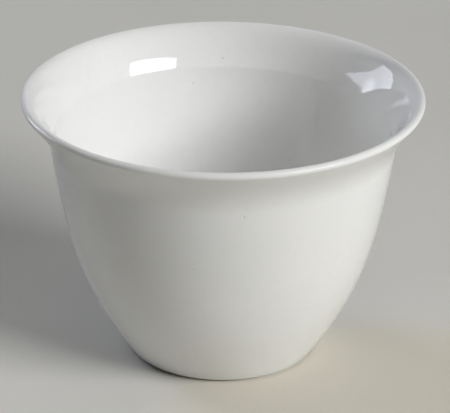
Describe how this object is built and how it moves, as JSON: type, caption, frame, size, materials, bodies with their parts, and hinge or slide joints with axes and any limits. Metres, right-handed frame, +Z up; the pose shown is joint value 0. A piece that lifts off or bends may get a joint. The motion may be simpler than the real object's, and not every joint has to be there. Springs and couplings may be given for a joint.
{
  "type": "sake cup",
  "caption": "Plain white glazed porcelain sake cup with a tapered round bowl, a flared lip and a bare foot ring, for drinking sake.",
  "frame": {"origin": "centre of the foot ring, on the surface that the cup stands on", "axes": "+Z up along the cup's axis, +X and +Y in the plane of the table"},
  "size_m": [0.066, 0.066, 0.0453],
  "materials": {
    "bare_porcelain": "matte",
    "cup_glaze": "polished",
    "recess_glaze": "polished"
  },
  "bodies": {
    "root": {"porcelain_body": "bare_porcelain", "glaze_coat": "cup_glaze", "foot_recess_glaze": "recess_glaze"}
  },
  "joints": []
}
